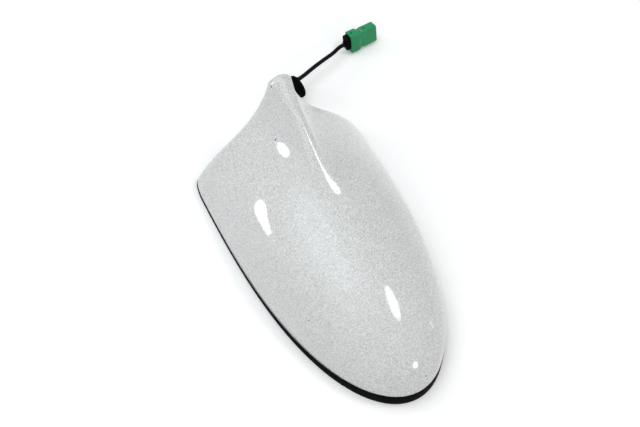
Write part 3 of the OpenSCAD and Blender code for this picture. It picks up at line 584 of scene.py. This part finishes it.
def cut_away(body, cutters):
    """The body's mesh with the cutters taken out of it; the cutters are removed."""
    for cutter in cutters:
        cut = body.modifiers.new("cut", "BOOLEAN")
        cut.object = cutter
        cut.solver = "EXACT"
    depsgraph = bpy.context.evaluated_depsgraph_get()
    body.data = bpy.data.meshes.new_from_object(body.evaluated_get(depsgraph))
    body.modifiers.clear()
    for cutter in cutters:
        bpy.data.objects.remove(cutter)


def make_connector():
    """The green body: two round recesses and the lock's slot in its top."""
    mesh = lofted("green_connector", connector_rings(), plug_place)
    mesh.materials.append(GREEN)
    body = new_object("green_connector", mesh)
    cutters = [
        connector_cutter(2.1, 1.1),
        connector_cutter(10.2, 1.1),
        connector_cutter(7.85 + 0.6, 1.4, slot=(0.6, 1.5)),
    ]
    cut_away(body, cutters)
    body.data.polygons.foreach_set("use_smooth", [True] * len(body.data.polygons))
    body.data.set_sharp_from_angle(angle=math.radians(38))
    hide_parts("connector_body")
    return body


connector = make_connector()
on_cable = [nodes["crimp_ferrule"], nodes["connector_body"], nodes["connector_lock"]]
on_cable += [nodes["connector_seal"], nodes["contact_barrels"]]


# Shell: the same form as the solid, at a finer step
def share(x, start, end):
    """Share of the way between two stations, held between 0 and 1."""
    return min(1.0, max(0.0, (x - start) / (end - start)))


def outline_half(x):
    """Half width of the plan outline at a station."""
    t = CORNER * (1 - share(x, REAR_X, REAR_X + CORNER))
    corner_cut = CORNER - math.sqrt(max(0.0, CORNER * CORNER - t * t))
    wide_x = REAR_X + WIDEST_BACK
    if x < wide_x:
        return HALF - (HALF - REAR_WIDE / 2) * share(x, wide_x, REAR_X) ** 2 - corner_cut
    return HALF * math.sqrt(max(0.0, 1 - share(x, wide_x, NOSE_X) ** FULLNESS)) - corner_cut


def in_x(x, inset):
    return x * (1 - inset / NOSE_X)


def in_y(y, inset):
    return y * (1 - inset / HALF)


def lip_z(x):
    """Height of the shell's lower edge, which rises to the nose."""
    return LIP_REAR + (LIP_NOSE - LIP_REAR) * share(x, REAR_X + RISE_FROM, NOSE_X) ** 1.4


def crown_h(x, drop):
    """Height of the hood's crown over the lip."""
    top_x = REAR_X + HOOD_BACK
    if x < top_x:
        rise = math.sin(math.pi / 2 * share(x, REAR_X, top_x))
        return HOOD_REAR - drop + (HOOD - HOOD_REAR) * rise
    return (HOOD - drop) * max(0.0, 1 - share(x, top_x, NOSE_X) ** HOOD_FALL) ** HOOD_CLOSE


def fin_left(x):
    """Share of the fin that is left at a station."""
    return 1 - share(x, REAR_X, REAR_X + FIN_RUN)


def fin_rise(x):
    """The same share with a soft run-out, for the fin's height."""
    left = 1 - (x - REAR_X) / FIN_RUN
    return (left + math.sqrt(left * left + FIN_BLEND * FIN_BLEND)) / 2


def ridge_y(x, inset):
    """Half width of the fin's top: wide at the rear, waisted, and flaring where the fin dies away."""
    gone = 1 - fin_left(x)
    return max(0.8, WAIST + (RIDGE - WAIST) * (1 - gone) ** 5 + 5 * gone ** 4 - inset)


def half_and_ridge(x, inset, drop):
    """Half widths of a skin and of its ridge at a station."""
    half = in_y(outline_half(x), inset)
    return half, min(ridge_y(x, drop), half * 0.6)


def skin_z(x, y, half, ridge, inset, drop):
    """Height of a skin over the roof: the hood, and the fin with its hollow cheeks."""
    left = fin_left(x)
    flank = max(0.0, 1 - (y / half) ** 2) if half > 0 else 0.0
    soft = 0.7 - 0.28 * share(x, REAR_X, REAR_X + SOFT_RUN)
    aside = max(0.0, abs(y) - ridge) / (CHEEK * (1 + 1.35 * (1 - left) ** 1.5))
    round_top = RIDGE_ROUND * (1 - min(1.0, abs(y) / ridge) ** 2) * left
    fin = FIN * fin_rise(x) * math.exp(-aside ** 0.8) + round_top
    edge = 0.0
    if drop == 0:
        edge = REAR_EDGE * (1 - math.sin(math.pi / 2 * share(x, REAR_X, REAR_X + CORNER)))
    return lip_z(in_x(x, inset)) + crown_h(x, drop) * flank ** soft + (fin - edge) * math.sqrt(flank)


def stations(rear, middle, nose):
    """Stations from the rear edge to just behind the nose's tip, closer where the outline turns."""
    turn_x, bow_x = REAR_X + CORNER, NOSE_X - BOW
    first = [REAR_X + CORNER * (1 - math.cos(math.pi / 2 * i / rear)) for i in range(rear)]
    between = [turn_x + (bow_x - turn_x) * i / middle for i in range(middle)]
    bow = [bow_x + BOW * math.sin(math.pi / 2 * i / nose) for i in range(nose)]
    return first + between + bow


def places_across(steps, top_steps):
    """Signed shares across a section: 1 is the ridge's edge and 2 the lip."""
    run = [1 + (1 + math.cos(math.pi * i / steps)) / 2 for i in range(steps)]
    top = [math.sin(math.pi / 2 * i / top_steps) for i in range(-top_steps, top_steps + 1)]
    return [-s for s in run] + top + run[::-1]


def skin(inset, drop, xs, shares):
    """Rows of points over one skin, and its tip at the nose."""
    rows = []
    for x in xs:
        half, ridge = half_and_ridge(x, inset, drop)
        row = []
        for s in shares:
            y = s * ridge if abs(s) <= 1 else math.copysign(ridge + (half - ridge) * (abs(s) - 1), s)
            row.append((in_x(x, inset), y, skin_z(x, y, half, ridge, inset, drop)))
        rows.append(row)
    nose = in_x(NOSE_X, inset)
    return rows, (nose, 0.0, lip_z(nose))


def skin_faces(rows, base):
    """Quads over the rows and a fan to the tip, whose point follows them."""
    n, m = len(rows), len(rows[0])
    faces = []
    for i in range(n - 1):
        for j in range(m - 1):
            a = base + i * m + j
            faces.append((a, a + m, a + m + 1, a + 1))
    for j in range(m - 1):
        a = base + (n - 1) * m + j
        faces.append((a, base + n * m, a + 1))
    return faces


def rear_wall(row, base, points):
    """The wall across the rear in strips, parted by the cable notch; it adds the notch's corner points."""
    m = len(row)
    top = next(j for j in range(m) if row[j][2] >= NOTCH_H)
    columns = {}
    for s in (-1, 1):
        columns[s] = list(range(len(points), len(points) + top + 1))
        points += [(row[0][0], s * NOTCH / 2, row[j][2]) for j in range(top + 1)]
    left, right = columns[-1], columns[1]
    faces = []
    for j in range(m // 2):
        a, b, c, d = base + j, base + j + 1, base + m - 2 - j, base + m - 1 - j
        if j < top:
            faces.append((a, b, left[j + 1], left[j]))
            faces.append((right[j], right[j + 1], c, d))
        elif j == top:
            faces.append((a, b, c, d, right[top], left[top]))
        else:
            faces.append((a, b, c, d) if b != c else (a, b, d))
    return faces, columns


def ceiling(x, y):
    """Height of the hollow over a place."""
    inset = FLARE + WALL
    station = x / (1 - inset / NOSE_X)
    half, ridge = half_and_ridge(station, inset, WALL)
    return skin_z(station, y, half, ridge, inset, WALL)


def post_places():
    """Middles of the screw posts: two pairs at the sides, and one behind the nose."""
    y = HALF - POST_IN
    return [(x, s * y) for x in (REAR_X + POST_IN, POST_MID) for s in (1, -1)] + [(NOSE_X - POST_NOSE_IN, 0.0)]


def shell_post(x, y):
    """A screw post: a round wall that runs up into the shell, with a blind bore."""
    sides, rooted = 32, 0.8
    rings = [(POST_R, None), (POST_R, POST_Z), (BORE_R, POST_Z), (BORE_R, POST_Z + BORE_L)]
    points = []
    for r, z in rings:
        for k in range(sides):
            a = 2 * math.pi * k / sides
            px, py = x + r * math.cos(a), y + r * math.sin(a)
            points.append((px, py, ceiling(px, py) + rooted if z is None else z))
    faces = []
    for i in range(len(rings) - 1):
        for k in range(sides):
            a, b = i * sides + k, i * sides + (k + 1) % sides
            faces.append((a, a + sides, b + sides, b))
    points += [(x, y, ceiling(x, y) + rooted), (x, y, POST_Z + BORE_L)]
    for k in range(sides):
        faces.append((4 * sides, k, (k + 1) % sides))
        faces.append((4 * sides + 1, 3 * sides + (k + 1) % sides, 3 * sides + k))
    return points, faces


def shell_rib(x):
    """A stiffening rib across the crown, level below and let into the shell above."""
    steps, rooted = 24, 0.6
    low = lip_z(x) + crown_h(x, WALL) - RIB_DEPTH
    reach = next(y / 4 for y in range(0, 400) if ceiling(x, y / 4) < low)
    ys = [-reach + 2 * reach * i / steps for i in range(steps + 1)]
    points = []
    for s in (-1, 1):
        for y in ys:
            points += [(x + s * RIB_T / 2, y, low), (x + s * RIB_T / 2, y, ceiling(x, y) + rooted)]
    size = 2 * len(ys)
    faces = []
    for a in range(0, 2 * steps, 2):
        faces.append((a, a + 2, a + 3, a + 1))
        faces.append((size + a, size + a + 1, size + a + 3, size + a + 2))
        faces.append((a + 1, a + 3, size + a + 3, size + a + 1))
        faces.append((a, size + a, size + a + 2, a + 2))
    faces.append((0, 1, size + 1, size))
    faces.append((size - 2, 2 * size - 2, 2 * size - 1, size - 1))
    return points, faces


def lip_faces(n, m, start, out_side, in_side):
    """The lip between the outer skin and the inner one, which begins at start, and the notch's edges."""
    faces = []
    for a in range(0, (n - 1) * m, m):
        faces.append((a, start + a, start + a + m, a + m))
        b = a + m - 1
        faces.append((b, b + m, start + b + m, start + b))
    last, tip = (n - 1) * m, n * m
    faces.append((last, start + last, start + tip, tip))
    faces.append((tip - 1, tip, start + tip, start + tip - 1))
    faces.append((0, out_side[-1][0], in_side[-1][0], start))
    faces.append((out_side[1][0], m - 1, start + m - 1, in_side[1][0]))
    faces += [tuple(out_side[s] + in_side[s][::-1]) for s in (-1, 1)]
    faces.append((out_side[-1][-1], out_side[1][-1], in_side[1][-1], in_side[-1][-1]))
    return faces


def make_shell():
    """The moulded shell: fine outer skin, inner skin, lip, crown ribs and screw posts."""
    xs = stations(10, 130, 80)
    shares = places_across(56, 8)
    outer, outer_tip = skin(FLARE, 0.0, xs, shares)
    inner, inner_tip = skin(FLARE + WALL, WALL, xs, shares)
    points = [p for row in outer for p in row] + [outer_tip]
    start = len(points)
    points += [p for row in inner for p in row] + [inner_tip]
    out_faces = skin_faces(outer, 0)
    in_faces = skin_faces(inner, start)
    out_wall, out_side = rear_wall(outer[0], 0, points)
    in_wall, in_side = rear_wall(inner[0], start, points)
    lip = lip_faces(len(xs), len(shares), start, out_side, in_side)
    faces = out_faces + in_faces + out_wall + in_wall + lip
    smooth = len(out_faces) + len(in_faces)
    inside = set(range(len(out_faces), smooth)) | set(range(smooth + len(out_wall), len(faces)))
    flat = set(range(smooth, len(faces)))
    ribs = [shell_rib(REAR_X + HOOD_BACK + RIB_FIRST + i * RIB_PITCH) for i in range(RIBS)]
    for some, more in [shell_post(x, y) for x, y in post_places()] + ribs:
        base = len(points)
        points += some
        fresh = range(len(faces), len(faces) + len(more))
        faces += [tuple(base + i for i in face) for face in more]
        inside |= set(fresh)
        flat |= set(fresh)
    mesh = mesh_from("pearl_shell", points, faces, flat)
    mesh.materials.append(PAINT)
    mesh.materials.append(SHELL_IN)
    mesh.polygons.foreach_set("material_index", [int(i in inside) for i in range(len(faces))])
    b = bmesh.new()
    b.from_mesh(mesh)
    bmesh.ops.recalc_face_normals(b, faces=b.faces)
    b.to_mesh(mesh)
    b.free()
    piece = new_object("pearl_shell", mesh)
    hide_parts("housing")
    return piece


shell = make_shell()


def plan_open(inset, xs):
    """Plan outline at an inset, open at the rear notch, from its left side round the nose to its right."""
    left = [(in_x(x, inset), in_y(outline_half(x), inset)) for x in xs]
    rear = in_x(REAR_X, inset)
    steps, wide = 14, left[0][1] - NOTCH / 2
    first = [(rear, NOTCH / 2 + wide * i / steps) for i in range(steps)]
    half = first + left
    return half + [(in_x(NOSE_X, inset), 0.0)] + [(x, -y) for x, y in half[::-1]]


def make_gasket():
    """The rubber rim: a skirt that bellies out a little, a fine bead under the shell, and a flange."""
    xs = stations(10, 90, 90)
    # Each corner is an inset, a height, and the share of the lip's height that is added to it
    corners = [
        (0.4, 0.0, 0.0), (0.12, 0.1, 0.0), (0.0, 0.4, 0.0), (0.0, 0.0, 0.5), (0.05, 0.0, 0.78),
        (0.16, -0.06, 0.95), (FLARE, -0.05, 1.0), (BASE_IN, -0.05, 1.0), (BASE_IN, FOOT_T, 0.0),
        (FOOT_W, FOOT_T, 0.0), (FOOT_W, 0.0, 0.0),
    ]
    loops = [plan_open(corner[0], xs) for corner in corners]
    n, c = len(loops[0]), len(corners)
    points = []
    for i in range(n):
        for k, (_, height, lift) in enumerate(corners):
            x, y = loops[k][i]
            points.append((x, y, height + lift * lip_z(x)))
    faces = []
    for i in range(n - 1):
        for k in range(c):
            a, l = i * c, (k + 1) % c
            faces.append((a + k, a + c + k, a + c + l, a + l))
    faces.append(tuple(range(c)))
    faces.append(tuple((n - 1) * c + k for k in range(c - 1, -1, -1)))
    mesh = mesh_from("rubber_rim", points, faces)
    piece = new_object("rubber_rim", mesh)
    finish_mesh(piece, 40)
    piece.data.materials.append(RUBBER)
    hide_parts("rim_gasket")
    return piece


make_gasket()


# Small dark specks on the paint, where the photograph shows them: pixel, then radius in millimetres
SPECKS = [
    (271.3, 86.7, 0.63), (275.7, 139.7, 0.60), (286.7, 84.5, 0.24), (320.5, 134.5, 0.30),
    (328.3, 144.5, 0.27), (360, 177, 0.39), (368.5, 169, 0.24), (360, 220.8, 0.30),
    (308.8, 320.4, 0.39), (426, 376, 0.45),
]


def speck_points(tree, hit, normal, r, index, sides):
    """A low ragged dot on the paint: its middle, and points round it that lie on the shell."""
    across = normal.orthogonal().normalized()
    up = normal.cross(across)
    points = [tuple((hit + normal * 0.03 * MM) / MM)]
    for k in range(sides):
        a = 2 * math.pi * k / sides
        ragged = 0.8 + 0.25 * math.sin(3 * a + index) + 0.1 * math.cos(5 * a + 2 * index)
        reach = r * ragged * MM
        spot = hit + across * math.cos(a) * reach + up * math.sin(a) * reach
        near, outward, _, _ = tree.find_nearest(spot)
        points.append(tuple((near + outward * 0.006 * MM) / MM))
    return points


def make_specks():
    b = bmesh.new()
    b.from_mesh(shell.data)
    tree = BVHTree.FromBMesh(b)
    b.free()
    sides = 14
    points, faces = [], []
    for index, (u, v, r) in enumerate(SPECKS):
        hit, normal, _, _ = tree.ray_cast(EYE, pixel_ray(u, v))
        if hit is None:
            continue
        start = len(points)
        points += speck_points(tree, hit, normal, r, index, sides)
        faces += [(start, start + 1 + k, start + 1 + (k + 1) % sides) for k in range(sides)]
    piece = new_object("paint_specks", mesh_from("paint_specks", points, faces))
    piece.data.materials.append(SPECK)
    return piece


make_specks()


# Floor, world and lamps
FLOOR_GLOW = 0.13
AMBIENT = 0.46


def seen_straight(tree):
    """1 where a surface is seen by the camera, in gloss or through glass, and 0 where it only lights."""
    rays = tree.nodes.new("ShaderNodeLightPath")
    total = rays.outputs["Is Camera Ray"]
    for kind in ("Is Glossy Ray", "Is Transmission Ray"):
        most = tree.nodes.new("ShaderNodeMath")
        most.operation = "MAXIMUM"
        tree.links.new(total, most.inputs[0])
        tree.links.new(rays.outputs[kind], most.inputs[1])
        total = most.outputs[0]
    return total


def mixed(tree, share_, first, second):
    """A shader that goes from the first to the second by a share."""
    mix = tree.nodes.new("ShaderNodeMixShader")
    tree.links.new(share_, mix.inputs["Fac"])
    tree.links.new(first, mix.inputs[1])
    tree.links.new(second, mix.inputs[2])
    return mix.outputs[0]


def floor_finish():
    """Plain pale to the light that bounces; seen straight, shaded by the object near it and white beyond."""
    f = Finish("floor_white", (0.82, 0.82, 0.82), 0.9)
    bounced = f.node("ShaderNodeBsdfDiffuse")
    bounced.inputs["Color"].default_value = (0.72, 0.72, 0.72, 1)
    seen = f.node("ShaderNodeBsdfDiffuse")
    seen.inputs["Color"].default_value = (0.95, 0.95, 0.95, 1)
    glow = f.node("ShaderNodeEmission")
    glow.inputs["Strength"].default_value = FLOOR_GLOW
    near = f.node("ShaderNodeAddShader")
    f.join(seen.outputs[0], near.inputs[0])
    f.join(glow.outputs[0], near.inputs[1])
    far = f.node("ShaderNodeEmission")
    far.inputs["Strength"].default_value = 1.0
    reach = f.node("ShaderNodeVectorMath", operation="LENGTH")
    f.join(f.place, reach.inputs[0])
    fade = f.span(reach.outputs["Value"], 0.35, 0.9, 0.0, 1.0)
    shown = mixed(f.tree, fade, near.outputs[0], far.outputs[0])
    surface = mixed(f.tree, seen_straight(f.tree), bounced.outputs[0], shown)
    f.join(surface, f.tree.nodes["Material Output"].inputs["Surface"])
    f.tree.nodes.remove(f.shader)
    return f.material


def make_floor():
    half = 4000
    corners = [(-half, -half, -0.02), (half, -half, -0.02), (half, half, -0.02), (-half, half, -0.02)]
    floor = new_object("floor", mesh_from("floor", corners, [(0, 1, 2, 3)]), body=None)
    floor.data.materials.append(floor_finish())


def make_world():
    """Soft plain light; seen straight it is white."""
    world = bpy.data.worlds.new("studio")
    bpy.context.scene.world = world
    world.use_nodes = True
    tree = world.node_tree
    tree.nodes.clear()
    soft = tree.nodes.new("ShaderNodeBackground")
    soft.inputs["Strength"].default_value = AMBIENT
    soft.inputs["Color"].default_value = (1.0, 0.998, 0.985, 1.0)
    white = tree.nodes.new("ShaderNodeBackground")
    white.inputs["Strength"].default_value = 1.0
    out = tree.nodes.new("ShaderNodeOutputWorld")
    tree.links.new(mixed(tree, seen_straight(tree), soft.outputs[0], white.outputs[0]), out.inputs["Surface"])


make_floor()
make_world()


def lamp(name, azimuth, elevation, distance, size, watts, aim, size_y=None):
    """A soft round or oval lamp on a sphere round the object, facing its aim, which is in millimetres."""
    data = bpy.data.lights.new(name, "AREA")
    data.shape = "ELLIPSE"
    data.size = size
    data.size_y = size_y or size
    data.energy = watts
    way = direction(math.radians(azimuth), math.radians(elevation))
    obj = bpy.data.objects.new(name, data)
    bpy.context.scene.collection.objects.link(obj)
    facing = way.to_track_quat("Z", "Y").to_matrix().to_4x4()
    obj.matrix_world = Matrix.Translation(Vector(aim) * MM + way * distance) @ facing
    obj.visible_camera = False
    return obj


# The oval on the left flank
lamp("key_left", -126, 20.5, 1.1, 0.16, 1.4, aim=(-29, -32, 31), size_y=0.25)

# The broad sheen on the hood: size, watts, distance, whether gloss shows it, and colour
SHEEN = {
    "sheen_wide": (1.5, 3.8, 1.4, True, (1.0, 0.99, 1.03)),
    "sheen_core": (0.75, 1.5, 1.3, True, (0.72, 1.0, 1.06)),
    "overhead_soft": (1.0, 1.8, 1.3, False, (1, 1, 1)),
}
for name, (size, watts, distance, glossy, colour) in SHEEN.items():
    lit = lamp(name, -149, 68, distance, size, watts, aim=(5, -12, 38))
    lit.data.color = colour
    lit.visible_glossy = glossy

# Light from the front that draws no highlight
lamp("front_soft", -50, 35, 1.3, 0.8, 3.0, aim=(5, -12, 30)).visible_glossy = False

# The streaks on the ridge and the hood, and the dot at the nose
lamp("streak_right", 76, 8, 1.0, 0.06, 0.07, aim=(-28, 5, 48), size_y=0.20)
lamp("hood_streak", 79, 63.5, 1.0, 0.28, 1.4, aim=(45, 3, 33), size_y=0.19)
lamp("nose_small", 30.5, 29.7, 1.0, 0.15, 1.0, aim=(72, 2, 20))

bpy.context.scene.view_settings.view_transform = "Standard"
